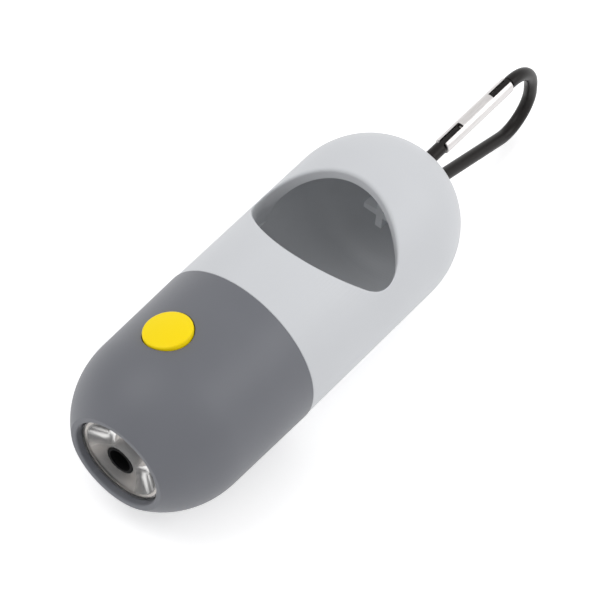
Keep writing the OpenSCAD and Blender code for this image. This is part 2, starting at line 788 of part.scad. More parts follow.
module battery_cover() {
    slot_len = 9;
    slot_t = 1.6;
    slot_depth = 0.6;
    color(liner_grey) in_place() difference() {
        union() {
            along(cover_r, cover_s, floor_top_s);
            along(plug_r, plug_s, cover_s + seat);
        }
        cover_screw_places() along(screw_d / 2 + screw_gap, plug_s - past, floor_top_s);
        cover_screw_places() along(screw_head_d / 2 + head_gap, floor_top_s - head_recess, floor_top_s + past);
        block(floor_top_s - slot_depth, floor_top_s + past, -slot_len / 2, slot_len / 2, slot_t);
    }
}

// A screw whose head ends just below the floor's surface
module screw() {
    head_s = floor_top_s - head_recess + seat;
    color(silver) difference() {
        union() {
            along(screw_head_d / 2, head_s, head_s + screw_head_t);
            along(screw_d / 2, head_s - screw_len, head_s + screw_head_t / 2);
        }
        for (turn = [0, 90]) rotate([turn, 0, 0])
            block(head_s + screw_head_t / 2, head_s + screw_head_t + past,
                -screw_d / 2, screw_d / 2, drive_w);
    }
}

module cover_screws() {
    in_place() cover_screw_places() screw();
}

module tray_screws() {
    in_place() tray_screw_places() screw();
}

// The window, cut straight down from above
module window_cut(grow) {
    rotate([0, -90, -90]) linear_extrude(shell_r + past) polygon(window_points(grow));
}

// The carabiner's path in the dome: room for its rod at every swing
module slot_shape() {
    reach = foot_bend_r + rod_r + slot_gap;
    difference() {
        translate(bar_c) union() {
            circle(r = reach);
            for (swing = [-swing_angle, 0, swing_angle]) {
                rotate(swing) translate([0, bar_r]) square([strip_len, reach - bar_r]);
                rotate(swing + spine_turn + 90) translate([0, -reach]) square([strip_len, reach - bar_r]);
            }
        }
        translate(bar_c) circle(r = bar_r);
    }
}

module bag_shell() {
    outer = concat([[0, bag_s], [shell_r - mouth_draft, bag_s]],
        dome_points(shell_r, dome_h, dome_s, dome_steps));
    inner = concat([[0, bag_s - past], [bag_in_r - mouth_draft, bag_s - past],
            [bag_in_r - mouth_draft, bag_s]],
        dome_points(bag_in_r, dome_h - bag_wall, dome_s, dome_steps));
    color(light_grey) in_place() difference() {
        union() {
            difference() {
                turned(outer);
                turned(inner);
            }
            intersection() {
                across(bar_r, bar_c[0], bar_c[1], shell_r);
                turned(outer);
            }
        }
        translate([0, 0, -slot_w / 2]) linear_extrude(slot_w) slot_shape();
        window_cut(0);
    }
}

module inner_sleeve() {
    outer = concat([[0, sleeve_s], [sleeve_r - mouth_draft, sleeve_s]],
        dome_points(sleeve_r, sleeve_dome_h, sleeve_dome_s, dome_steps));
    inner = concat([[0, sleeve_s - past], [bore_r, sleeve_s - past]],
        dome_points(bore_r, sleeve_in_h, sleeve_dome_s, dome_steps));
    color(light_grey) in_place() difference() {
        union() {
            difference() {
                turned(outer);
                turned(inner);
            }
            rotate([360 * thread_lag / thread_lead, 0, 0])
                thread_ridge(bore_r + thread_root, thread_in_r);
        }
        window_cut(sleeve_window_gap);
    }
}

module roll_spindle() {
    top_s = spindle_foot_s - spindle_foot_t;
    color(light_grey) in_place() union() {
        along(spindle_foot_d / 2, top_s, spindle_foot_s);
        intersection() {
            along(spindle_d / 2, top_s - spindle_len, spindle_foot_s - spindle_foot_t / 2);
            union() {
                block(top_s - spindle_len, spindle_foot_s, -spindle_d / 2, spindle_d / 2, spindle_arm);
                block(top_s - spindle_len, spindle_foot_s, -spindle_arm / 2, spindle_arm / 2, spindle_d);
            }
        }
    }
}

// Directions of the rod's outward normal along one bend, a step apart
function bend_turns(from, to) =
    let (steps = ceil((to - from) / rod_step)) [for (i = [0:steps]) from + (to - from) * i / steps];

module carabiner_frame() {
    low = gate_y - tongue_h / 2;
    high = gate_y + tongue_h / 2;
    bends = [[bar_c, foot_bend_r, bend_turns(90, 360 + spine_turn)],
        [wide_c, wide_bend_r, bend_turns(360 + spine_turn, 360 + end_turn)],
        [nose_c, nose_bend_r, bend_turns(360 + end_turn, 360 + 90)]];
    path = concat([[hinge_shoulder_s, gate_y, 0]], [for (b = bends, a = b[2])
        [b[0][0] + b[1] * cos(a), b[0][1] + b[1] * sin(a), 0]]);
    normals = concat([[0, 1, 0]], [for (b = bends, a = b[2]) [cos(a), sin(a), 0]]);
    color(black) in_place() difference() {
        union() {
            swept(path, normals, [for (p = path) [0, 0, 1]], rod_r, rod_sides);
            block(hinge_shoulder_s - tongue_root, tongue_end_s, low, high, tongue_t);
            block(nose_tongue_s, nose_s + tongue_root, low, high, tongue_t);
        }
        across(hinge_pin_d / 2 + pin_seat, hinge_s, gate_y, rod_d + past);
        across(latch_pin_d / 2 + latch_gap, latch_s, gate_y, rod_d + past);
        block(latch_s - latch_pin_d / 2 - latch_gap, latch_s + latch_pin_d / 2 + latch_gap,
            gate_y - tongue_h, gate_y, rod_d + past);
    }
}

module gate() {
    low = gate_y - gate_d;
    high = gate_y + gate_d;
    color(silver) in_place() difference() {
        translate([0, gate_y, 0]) along(gate_d / 2, gate_start_s, gate_end_s);
        block(gate_start_s - past, gate_solid_s, low, high, fork_gap);
        block(nose_slot_s, gate_end_s + past, low, high, fork_gap);
        translate([0, gate_y, 0])
            along(gate_spring_d / 2 + pin_play, gate_solid_s - past, gate_solid_s + gate_spring_len);
        across(hinge_pin_d / 2 + pin_play, hinge_s, gate_y, gate_d + past);
        across(latch_pin_d / 2 + pin_seat, latch_s, gate_y, gate_d + past);
    }
}

module hinge_pin() {
    color(silver) in_place() across(hinge_pin_d / 2, hinge_s, gate_y, gate_d - 2 * pin_set);
}

module latch_pin() {
    color(silver) in_place() across(latch_pin_d / 2, latch_s, gate_y, gate_d - 2 * pin_set);
}

module gate_spring() {
    wall = 0.4;
    out = 0.15;
    color(silver) in_place() translate([0, gate_y, 0]) difference() {
        along(gate_spring_d / 2, gate_solid_s - out, gate_solid_s + gate_spring_len - seat);
        along(gate_spring_d / 2 - wall, gate_solid_s - past, gate_solid_s + gate_spring_len);
    }
}

torch_shell();
lens();
lens_seal();
reflector();
led_shroud();
led();
led_board();
battery_tray();
front_contact();
battery_spring();
button_cells();
rear_contact();
switch_board();
switch_body();
switch_plunger();
button();
lead_wires();
neck_collar();
neck_seal();
battery_cover();
cover_screws();
tray_screws();
bag_shell();
inner_sleeve();
roll_spindle();
carabiner_frame();
gate();
hinge_pin();
latch_pin();
gate_spring();
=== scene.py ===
from math import acos, atan2, ceil, cos, degrees, hypot, pi, radians, sin, sqrt

import bmesh
import bpy
from mathutils import Matrix, Vector


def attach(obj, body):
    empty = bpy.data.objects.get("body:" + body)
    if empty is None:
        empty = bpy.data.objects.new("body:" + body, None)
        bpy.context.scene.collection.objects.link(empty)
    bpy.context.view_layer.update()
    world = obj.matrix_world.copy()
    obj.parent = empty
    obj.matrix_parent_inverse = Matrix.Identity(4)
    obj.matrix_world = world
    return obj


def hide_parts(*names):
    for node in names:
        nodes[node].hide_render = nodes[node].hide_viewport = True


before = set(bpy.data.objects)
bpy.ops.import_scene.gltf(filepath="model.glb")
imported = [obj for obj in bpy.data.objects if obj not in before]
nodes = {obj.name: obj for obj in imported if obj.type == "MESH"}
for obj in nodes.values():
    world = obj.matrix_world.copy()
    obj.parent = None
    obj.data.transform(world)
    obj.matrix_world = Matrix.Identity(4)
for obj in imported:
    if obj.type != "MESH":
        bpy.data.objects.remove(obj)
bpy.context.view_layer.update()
print("frame loaded:", len(nodes), "nodes")

# Pieces are modelled in millimetres on the capsule's axis: X runs from the torch face to
# the carabiner and Z is up through the window. toPlace carries them to the shared frame.
capsule = {"radius": 22, "length": 114.2, "seam": 43.5, "seamGap": 0.1, "circleSteps": 176}
clip = {"length": 56, "width": 25.5, "rodRadius": 1.7, "barRadius": 2.65, "barSet": 3, "barDrop": 0.9,
        "slotGap": 0.35, "wideBend": 8.5, "noseBend": 11.3, "noseBack": 0.35, "shoulder": 8.3,
        "hinge": 4.3, "tongue": 3.1, "noseTongue": 7.2, "latch": 4.7, "tongueThick": 1.3,
        "tongueHeight": 3.0, "tongueRoot": 1, "edge": 0.15, "notch": 0.75, "notchSlack": 0.01,
        "sides": 40, "bendStep": 5}
full, seam = capsule["radius"], capsule["seam"]
barAlong = capsule["length"] - clip["barSet"]
barCentre = (barAlong, -clip["barDrop"])
footBend = clip["barRadius"] + clip["slotGap"] + clip["rodRadius"]
gateHeight = footBend - clip["barDrop"]
clipEnd = barAlong - footBend - clip["rodRadius"] + clip["length"]
toPlace = Matrix.Translation((-clipEnd / 2000, 0, full / 1000)) @ Matrix.Scale(0.001, 4)


# materials: sizes in millimetres, relief depths in metres
mould = {"cloudMm": 26, "grainDetail": 4.0, "cloudDetail": 2.0, "grainRoughness": 0.6,
         "ends": (0.32, 0.68), "spread": (-0.05, 0.07), "depth": 0.00004, "ior": 1.5}
drawn = {"detail": 3.0, "ends": (0.3, 0.7), "spread": (-0.06, 0.08), "depth": 0.00002}
even, lengthwise = (1, 1, 1), (0.1, 1, 1)


def hexColour(text):  # sRGB hex to the linear colour that a shader takes
    channels = [int(text[i:i + 2], 16) / 255 for i in (1, 3, 5)]
    return tuple(c / 12.92 if c <= 0.04045 else ((c + 0.055) / 1.055) ** 2.4 for c in channels) + (1,)


def addNode(material, kind, settings=None, links=None):
    # a settings or links key is a socket's name, or its number where two sockets share a name
    node = material.node_tree.nodes.new(kind)
    for name, value in (settings or {}).items():
        if isinstance(name, int) or name in node.inputs:
            node.inputs[name].default_value = value
        elif name == "ramp":
            for element, (position, colour) in zip(node.color_ramp.elements, value):
                element.position = position
                element.color = colour
        else:
            setattr(node, name, value)
    for name, (source, output) in (links or {}).items():
        material.node_tree.links.new(source.outputs[output], node.inputs[name])
    return node


def newMaterial(name):
    material = bpy.data.materials.new(name)
    material.use_nodes = True
    material.node_tree.nodes.clear()
    return material


def addSurface(material, patches, grain, colours, roughness, relief, make, surface):
    # the patches tint the colour, and the grain roughens the gloss and stands up as relief
    ramp = [(end, hexColour(colour)) for end, colour in zip(make["ends"], colours)]
    low, high = make["spread"]
    tint = addNode(material, "ShaderNodeValToRGB", {"ramp": ramp}, {"Fac": (patches, "Fac")})
    rough = addNode(material, "ShaderNodeMapRange", {"To Min": roughness + low, "To Max": roughness + high},
                    {"Value": (grain, "Fac")})
    bump = addNode(material, "ShaderNodeBump", {"Strength": relief, "Distance": make["depth"]},
                   {"Height": (grain, "Fac")})
    shader = addNode(material, "ShaderNodeBsdfPrincipled", surface,
                     {"Base Color": (tint, "Color"), "Roughness": (rough, "Result"),
                      "Normal": (bump, "Normal")})
    addNode(material, "ShaderNodeOutputMaterial", None, {"Surface": (shader, "BSDF")})
    return material


def mouldedPlastic(name, colour, shade, grainMm, roughness, relief, surface=None):
    # a spark-eroded mould leaves a fine grain: it breaks up the gloss and tints the colour a little
    material = newMaterial(name)
    place = addNode(material, "ShaderNodeTexCoord")
    grain = addNode(material, "ShaderNodeTexNoise",
                    {"Scale": 1000 / grainMm, "Detail": mould["grainDetail"],
                     "Roughness": mould["grainRoughness"]}, {"Vector": (place, "Object")})
    cloud = addNode(material, "ShaderNodeTexNoise",
                    {"Scale": 1000 / mould["cloudMm"], "Detail": mould["cloudDetail"]},
                    {"Vector": (place, "Object")})
    return addSurface(material, cloud, grain, (shade, colour), roughness, relief, mould,
                      dict({"IOR": mould["ior"]}, **(surface or {})))


def workedMetal(name, colour, shade, lineMm, stretch, roughness, relief, surface=None):
    # drawing, turning or plating leaves faint lines along one axis, which streak the reflections
    material = newMaterial(name)
    place = addNode(material, "ShaderNodeTexCoord")
    along = addNode(material, "ShaderNodeMapping", {"Scale": stretch}, {"Vector": (place, "Object")})
    lines = addNode(material, "ShaderNodeTexNoise", {"Scale": 1000 / lineMm, "Detail": drawn["detail"]},
                    {"Vector": (along, "Vector")})
    return addSurface(material, lines, lines, (shade, colour), roughness, relief, drawn,
                      dict({"Metallic": 1.0}, **(surface or {})))


# after each name: the colour and its shade, the grain's size, the roughness and the relief's strength
# soft-touch coated ABS: a rubbery lacquer that scatters the highlight into a broad pale bloom
softTouchDark = mouldedPlastic("softTouchDarkGrey", "#6A6C72", "#65676D", 0.5, 0.48, 0.25,
                               {"Sheen Weight": 0.1, "Sheen Roughness": 0.4})
softTouchLight = mouldedPlastic("softTouchLightGrey", "#D2D4D7", "#CFD1D4", 0.5, 0.5, 0.2,
                                {"Sheen Weight": 0.05, "Sheen Roughness": 0.5})
# moulded polypropylene: unpainted, slightly waxy
sleevePlastic = mouldedPlastic("mouldedSleeveGrey", "#D0D2D5", "#CBCDD0", 0.6, 0.45, 0.2)
collarPlastic = mouldedPlastic("mouldedCollarGrey", "#626468", "#5D5F63", 0.6, 0.48, 0.25)
spindlePlastic = mouldedPlastic("mouldedSpindleGrey", "#EEF0F2", "#E6E8EA", 0.6, 0.35, 0.2)
# silicone rubber key: strong even yellow with a soft gloss
buttonYellow = mouldedPlastic("siliconeYellow", "#FFE400", "#FFDF00", 0.7, 0.4, 0.15,
                              {"Subsurface Weight": 0.05, "Subsurface Radius": (0.002, 0.0012, 0.0004),
                               "Specular IOR Level": 0.2})
# glossy moulded ABS for the tray and the switch, dark with sharp small highlights
blackPlastic = mouldedPlastic("glossBlackPlastic", "#17181A", "#121314", 0.8, 0.18, 0.05)
# black moulded tube round the lamp: dull, so that the hole in the optic reads as dark
shroudBlack = mouldedPlastic("mattBlackShroud", "#0B0B0C", "#080809", 0.6, 0.7, 0.2,
                             {"Specular IOR Level": 0.1})
# nitrile rubber seals: dull black with a soft edge light
sealRubber = mouldedPlastic("nitrileRubber", "#1C1C1D", "#161617", 0.4, 0.6, 0.3)
# acetal plunger, PVC wire sheath and the lamp's phosphor resin: plain mouldings told apart by colour
whitePlastic = mouldedPlastic("acetalWhite", "#E4E4E0", "#DCDCD8", 0.6, 0.4, 0.1)
wireSheath = mouldedPlastic("redWireSheath", "#8C1B16", "#7C1713", 0.6, 0.4, 0.1)
ledYellow = mouldedPlastic("phosphorResin", "#F1E48C", "#E9D873", 0.4, 0.25, 0.05)
# glass-fibre circuit board: green under a clear lacquer
boardGreen = mouldedPlastic("glassFibreBoard", "#2C6A46", "#255C3C", 0.3, 0.3, 0.2, {"Coat Weight": 0.4})
# anodised aluminium rod: dyed black skin over drawn metal, with a grey gloss along its round
anodisedBlack = workedMetal("anodisedBlackRod", "#1E1B1A", "#181615", 0.4, even, 0.38, 0.15,
                            {"Metallic": 0.3, "Specular IOR Level": 0.25})
# bare turned aluminium gate: silver, with its reflections drawn out along the tube
turnedAluminium = workedMetal("turnedAluminium", "#D9D6D5", "#CBC8C7", 0.3, lengthwise, 0.34, 0.2)
# vacuum-metallised cup: soft silver behind the optic
chrome = workedMetal("vacuumChrome", "#D6D0CC", "#C9C4C1", 0.5, even, 0.34, 0.1)
# plated steel of the contacts, pins, screws and cell cans: satin greys, each a little apart
nickelSteel = workedMetal("nickelPlatedSteel", "#C9C7C2", "#BBB9B4", 0.4, even, 0.28, 0.1)
zincSteel = workedMetal("zincPlatedSteel", "#B4B6B8", "#A3A5A8", 0.4, even, 0.32, 0.15)
cellSteel = workedMetal("satinCellCan", "#C6C6C5", "#B8B8B7", 0.3, lengthwise, 0.3, 0.15)

# clear acrylic: soft-edged reflections on the front, light carried back to the cup and out again
optic = {"rippleMm": 3.0, "rippleDetail": 1.0, "relief": 0.1, "depth": 0.00002, "roughness": 0.12,
         "ior": 1.49}
lensClear = newMaterial("clearAcrylic")
place = addNode(lensClear, "ShaderNodeTexCoord")
ripple = addNode(lensClear, "ShaderNodeTexNoise",
                 {"Scale": 1000 / optic["rippleMm"], "Detail": optic["rippleDetail"]},
                 {"Vector": (place, "Object")})
lensBump = addNode(lensClear, "ShaderNodeBump", {"Strength": optic["relief"], "Distance": optic["depth"]},
                   {"Height": (ripple, "Fac")})
glass = addNode(lensClear, "ShaderNodeBsdfPrincipled",
                {"Base Color": hexColour("#F4F3F1"), "Roughness": optic["roughness"], "IOR": optic["ior"],
                 "Transmission Weight": 1.0}, {"Normal": (lensBump, "Normal")})
addNode(lensClear, "ShaderNodeOutputMaterial", None, {"Surface": (glass, "BSDF")})
print("materials made")


# shaping tools
shaping = {"weld": 0.002, "cornerSteps": 4, "edgeSteps": 3, "round": 0.5, "rodSides": 48}


def wire(bm, points, rounded=None, closed=False):
    corners = [bm.verts.new((s, 0, r)) for s, r in points]
    pairs = list(zip(corners, corners[1:])) + ([(corners[-1], corners[0])] if closed else [])
    for pair in pairs:
        bm.edges.new(pair)
    for index, radius in (rounded or {}).items():
        bmesh.ops.bevel(bm, geom=[corners[index]], offset=radius, offset_type="OFFSET",
                        segments=shaping["cornerSteps"], profile=shaping["round"], affect="VERTICES",
                        material=-1)


def weld(bm):
    bmesh.ops.remove_doubles(bm, verts=bm.verts[:], dist=shaping["weld"])
    bmesh.ops.recalc_face_normals(bm, faces=bm.faces[:])


def turned(points, rounded=None, closed=True, steps=capsule["circleSteps"]):
    bm = bmesh.new()
    wire(bm, points, rounded, closed)
    bmesh.ops.spin(bm, geom=bm.verts[:] + bm.edges[:], cent=(0, 0, 0), axis=(1, 0, 0), angle=2 * pi,
                   steps=steps, use_merge=True)
    weld(bm)
    return bm


def softenEdges(bm, edges, offset):
    if offset:
        bmesh.ops.bevel(bm, geom=edges, offset=offset, segments=shaping["edgeSteps"],
                        profile=shaping["round"], affect="EDGES", material=-1)


def rod(radius, start, end, edge=0.0, sides=shaping["rodSides"]):
    start, end = Vector(start), Vector(end)
    bm = bmesh.new()
    turn = (end - start).to_track_quat("Z", "Y").to_matrix().to_4x4()
    bmesh.ops.create_cone(bm, cap_ends=True, segments=sides, radius1=radius, radius2=radius,
                          depth=(end - start).length, matrix=Matrix.Translation((start + end) / 2) @ turn)
    softenEdges(bm, [e for e in bm.edges if any(len(f.verts) > 4 for f in e.link_faces)], edge)
    return bm


def block(low, high, edge=0.0, turn=None):
    low, high = Vector(low), Vector(high)
    bm = bmesh.new()
    size = Matrix.Diagonal((high - low).to_4d())
    size[3][3] = 1
    bmesh.ops.create_cube(bm, size=1, matrix=Matrix.Translation((low + high) / 2) @ size)
    softenEdges(bm, bm.edges[:], edge)
    if turn is not None:
        bmesh.ops.transform(bm, matrix=turn, verts=bm.verts[:])
    return bm


def newPiece(name, bm):
    mesh = bpy.data.meshes.new(name)
    bm.to_mesh(mesh)
    bm.free()
    piece = bpy.data.objects.new(name, mesh)
    bpy.context.scene.collection.objects.link(piece)
    return piece


def combine(piece, tool, how):
    modifier = piece.modifiers.new("combine", "BOOLEAN")
    modifier.operation = how
    modifier.solver = "EXACT"
    modifier.object = tool
    shaped = bpy.data.meshes.new_from_object(piece.evaluated_get(bpy.context.evaluated_depsgraph_get()))
    piece.modifiers.remove(modifier)
    before, piece.data = piece.data, shaped
    bpy.data.meshes.remove(before)
    bpy.data.objects.remove(tool)


def mergeInto(piece, other):  # a part moulded in one with the piece
    bm = bmesh.new()
    bm.from_mesh(piece.data)
    bm.from_mesh(other.data)
    bm.to_mesh(piece.data)
    bm.free()
    bpy.data.objects.remove(other)


def finish(piece, body, slot, material, *stands, crease=32):
    mesh = piece.data
    bm = bmesh.new()
    bm.from_mesh(mesh)
    bmesh.ops.remove_doubles(bm, verts=bm.verts[:], dist=shaping["weld"])
    bmesh.ops.dissolve_degenerate(bm, dist=shaping["weld"], edges=bm.edges[:])
    bm.to_mesh(mesh)
    bm.free()
    mesh.transform(toPlace)
    mesh.materials.clear()
    mesh.materials.append(material)
    mesh.shade_smooth()
    mesh.set_sharp_from_angle(angle=radians(crease))
    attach(piece, body)
    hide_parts(*stands)


def quarter(radius, height, start, steps):  # an elliptical end: from its foot to its tip
    return [(start + height * sin(radians(90) * i / steps), radius * cos(radians(90) * i / steps))
            for i in range(steps)] + [(start + height, 0)]


# torch shell: a rounded nose with the lens pocket, a button hole and a ledge for the collar
lens = {"radius": 11.4, "gap": 0.35, "front": 1.5, "flange": 1, "depth": 9.2, "rim": 1.5, "tail": 4.7,
        "hole": 3.75, "frontEdge": 0.3, "holeEdge": 0.15, "seal": 0.55}
torch = {"faceRadius": 13.2, "noseRadius": 21.6, "noseLength": 18.5, "fullness": 2.0, "wall": 2.0,
         "frontWall": 2.0, "bore": 11.0, "faceEdge": 0.9, "lipEdge": 0.45, "seamEdge": 0.22,
         "noseSteps": 40, "ledge": 39.5, "ledgeLength": 1.6, "ledgeHeight": 1.6}
button = {"along": 24.0, "turn": 15.8, "radius": 5.9, "gap": 0.25, "proud": 1, "crown": 0.6,
          "edge": 0.55, "crownClear": 0.4, "crownSteps": 12, "flange": 1.0, "flangeGap": 0.25,
          "flangeThick": 0.9, "wall": 1.2, "stemRadius": 1.9, "stem": 1.3, "holeStart": 12, "holeEnd": 26,
          "sides": 96}
noseFull = torch["noseLength"] / (1 - (torch["faceRadius"] / torch["noseRadius"]) ** torch["fullness"]) ** (
    1 / torch["fullness"])


def noseAt(s, inset=0.0):
    share = (torch["noseLength"] - s) / (noseFull - inset)
    return (torch["noseRadius"] - inset) * (1 - share ** torch["fullness"]) ** (1 / torch["fullness"])


def noseCurve(start, inset):
    length = torch["noseLength"] - start
    turns = [radians(90) * i / torch["noseSteps"] for i in range(torch["noseSteps"] + 1)]
    return [(start + length * (1 - cos(a)), noseAt(start + length * (1 - cos(a)), inset)) for a in turns]


wall, pocket = torch["wall"], lens["radius"] + lens["gap"]
lensBack = lens["front"] + lens["flange"]
pocketFloor = lensBack + lens["seal"]
cavity = pocketFloor + torch["frontWall"]
outside = noseCurve(0, 0)
inside = noseCurve(cavity, wall)
ledge, ledgeIn = torch["ledge"], full - wall - torch["ledgeHeight"]
front = [(pocketFloor, torch["bore"]), (pocketFloor, pocket), (0, pocket)]
profile = (front + outside
           + [(seam, full), (seam, full - wall), (ledge, full - wall), (ledge, ledgeIn),
              (ledge - torch["ledgeLength"], ledgeIn),
              (ledge - torch["ledgeLength"] - torch["ledgeHeight"], full - wall)]
           + inside[::-1] + [(cavity, torch["bore"])])
lipCorner, faceCorner, seamCorner = len(front) - 1, len(front), len(front) + len(outside)
shell = newPiece("torchShell", turned(profile, {lipCorner: torch["lipEdge"], faceCorner: torch["faceEdge"],
                                                seamCorner: torch["seamEdge"]}))
outward = Vector((0, sin(radians(button["turn"])), cos(radians(button["turn"]))))
onAxis = Vector((button["along"], 0, 0))
hole = rod(button["radius"] + button["gap"], onAxis + button["holeStart"] * outward,
           onAxis + button["holeEnd"] * outward, sides=button["sides"])
combine(shell, newPiece("buttonHole", hole), "DIFFERENCE")
finish(shell, "torch_half", "shell_dark", softTouchDark, "torch_shell")
print("torch shell made")


# button: a hollow key with a flange under the shell and a stem to the switch
def buttonShape():
    b, r = button, button["radius"]
    atButton = torch["noseRadius"] + (full - torch["noseRadius"]) * (b["along"] - torch["noseLength"]) / (
        seam - torch["noseLength"])
    top = atButton + b["proud"]
    flangeTop = sqrt((atButton - torch["wall"]) ** 2 - (r + b["flange"]) ** 2) - b["flangeGap"]
    foot, roof = flangeTop - b["flangeThick"], top - b["crown"] - b["wall"]
    crownRadius = (r ** 2 + b["crown"] ** 2) / (2 * b["crown"])
    radii = [(r - b["edge"] * b["crownClear"]) * i / b["crownSteps"] for i in range(b["crownSteps"] + 1)]
    crown = [(top - crownRadius + sqrt(crownRadius ** 2 - x ** 2), x) for x in radii]
    side = [(top - b["crown"], r), (flangeTop, r), (flangeTop, r + b["flange"]), (foot, r + b["flange"]),
            (foot, r - b["wall"]), (roof, r - b["wall"]), (roof, b["stemRadius"]),
            (foot - b["stem"], b["stemRadius"]), (foot - b["stem"], 0)]
    return turned(crown + side, {len(crown): b["edge"]}, closed=False, steps=b["sides"])


key = newPiece("buttonKey", buttonShape())
stand = Matrix.Translation(onAxis) @ outward.to_track_quat("X", "Z").to_matrix().to_4x4()
key.data.transform(stand)
finish(key, "button_group", "button_yellow", buttonYellow, "button")
print("button made")


# window: two long arcs joined by two corner arcs that touch both
window = {"foot": 15.3, "length": 28.3, "lowRadius": 21.4, "topRadius": 23.4, "sideRadius": 10.3,
          "lowSteps": 45, "sideSteps": 30, "topSteps": 51, "edge": 1.1, "edgeSteps": 8, "inset": 0.45,
          "rimOut": 0.25, "rimDepth": 3.1, "sideReach": 2.0, "below": 0.9, "above": 0.15, "mouth": 0.4,
          "toolTop": 30}
bag = {"wall": 1.8, "domeHeight": 22.9, "draft": 0.15, "seamEdge": 0.2, "domeSteps": 44,
       "slotWidth": 4.1, "slotStep": 0.014, "slotShort": 0.01, "slotSides": 96, "swing": 25,
       "stripLength": 8, "barHalf": 16, "barUnder": 0.15, "barSides": 64, "domeFoot": 0.7, "domeIn": 1}
dome = capsule["length"] - bag["domeHeight"]
lowCentre = seam + window["foot"] + window["lowRadius"]
topCentre = seam + window["foot"] + window["length"] - window["topRadius"]
lowReach, topReach = window["lowRadius"] - window["sideRadius"], window["topRadius"] - window["sideRadius"]
apart = lowCentre - topCentre
sideAlong = (topReach ** 2 - lowReach ** 2 + apart ** 2) / (2 * apart)
sideAcross = sqrt(topReach ** 2 - sideAlong ** 2)
sideCentre = topCentre + sideAlong
lowEnd = degrees(atan2(sideAcross, lowCentre - sideCentre))
topEnd = degrees(atan2(sideAcross, sideCentre - topCentre))


def windowOutline(grow):  # points as (across, along)
    side, sideSteps = window["sideRadius"], window["sideSteps"]
    arcs = [(0, lowCentre, window["lowRadius"], -90 - lowEnd, -90 + lowEnd, window["lowSteps"]),
            (sideAcross, sideCentre, side, -90 + lowEnd, 90 - topEnd, sideSteps),
            (0, topCentre, window["topRadius"], 90 - topEnd, 90 + topEnd, window["topSteps"]),
            (-sideAcross, sideCentre, side, 90 + topEnd, 270 - lowEnd, sideSteps)]
    points = []
    for x, s, r, first, last, steps in arcs:
        turns = [radians(first + (last - first) * i / steps) for i in range(steps)]
        points += [(x + (r + grow) * cos(turn), s + (r + grow) * sin(turn)) for turn in turns]
    return points


def shellRadius(s):
    return full - bag["draft"] * max(0, dome - s) / (dome - seam)


def windowTool(name, levels):
    # each level is (how far below the shell's surface, how far outside the window's outline),
    # and a depth of None stands for a flat top above the shell
    bm = bmesh.new()
    base, loops = windowOutline(0), []
    for depth, grow in levels:
        ring = []
        for (x, s), (wideX, wideS) in zip(base, windowOutline(grow)):
            r = shellRadius(wideS)
            across = x + (wideX - x) * sqrt(1 - (x / r) ** 2)
            high = window["toolTop"]
            if depth is not None:
                lowest = sqrt(r ** 2 - across ** 2) - window["sideReach"] * depth
                high = max(sqrt(max(0, (r - depth) ** 2 - across ** 2)), lowest)
            ring.append(bm.verts.new((wideS, across, high)))
        loops.append([bm.edges.new(pair) for pair in zip(ring, ring[1:] + ring[:1])])
    for low, high in zip(loops, loops[1:]):
        bmesh.ops.bridge_loops(bm, edges=low + high)
    bmesh.ops.contextual_create(bm, geom=loops[0])
    bmesh.ops.contextual_create(bm, geom=loops[-1])
    bmesh.ops.triangulate(bm, faces=[f for f in bm.faces if len(f.verts) > 4])
    bmesh.ops.recalc_face_normals(bm, faces=bm.faces[:])
    return newPiece(name, bm)


# where the carabiner's rod bends, as (along, up)
wideCentre = (clipEnd - clip["rodRadius"] - clip["wideBend"],
              gateHeight - clip["width"] + 2 * clip["rodRadius"] + clip["wideBend"])
noseCentre = (clipEnd - clip["rodRadius"] - clip["noseBend"] - clip["noseBack"],
              gateHeight - clip["noseBend"])


def beltTurn(a, ra, b, rb):  # where the rod leaves one bend for the next
    across, up = b[0] - a[0], b[1] - a[1]
    return degrees(atan2(up, across) - acos((ra - rb) / hypot(across, up)))


spineTurn = beltTurn(barCentre, footBend, wideCentre, clip["wideBend"])
endTurn = beltTurn(wideCentre, clip["wideBend"], noseCentre, clip["noseBend"])

# bag shell, with the hang bar in its dome
bagStart = seam + capsule["seamGap"]
outer = [(bagStart, full - bag["draft"])] + quarter(full, bag["domeHeight"], dome, bag["domeSteps"])
inner = [(bagStart, full - bag["wall"] - bag["draft"])] + quarter(
    full - bag["wall"], bag["domeHeight"] - bag["wall"], dome, bag["domeSteps"])
shell = newPiece("bagShell", turned(outer[::-1] + inner, {len(outer) - 1: bag["seamEdge"]}, closed=False))
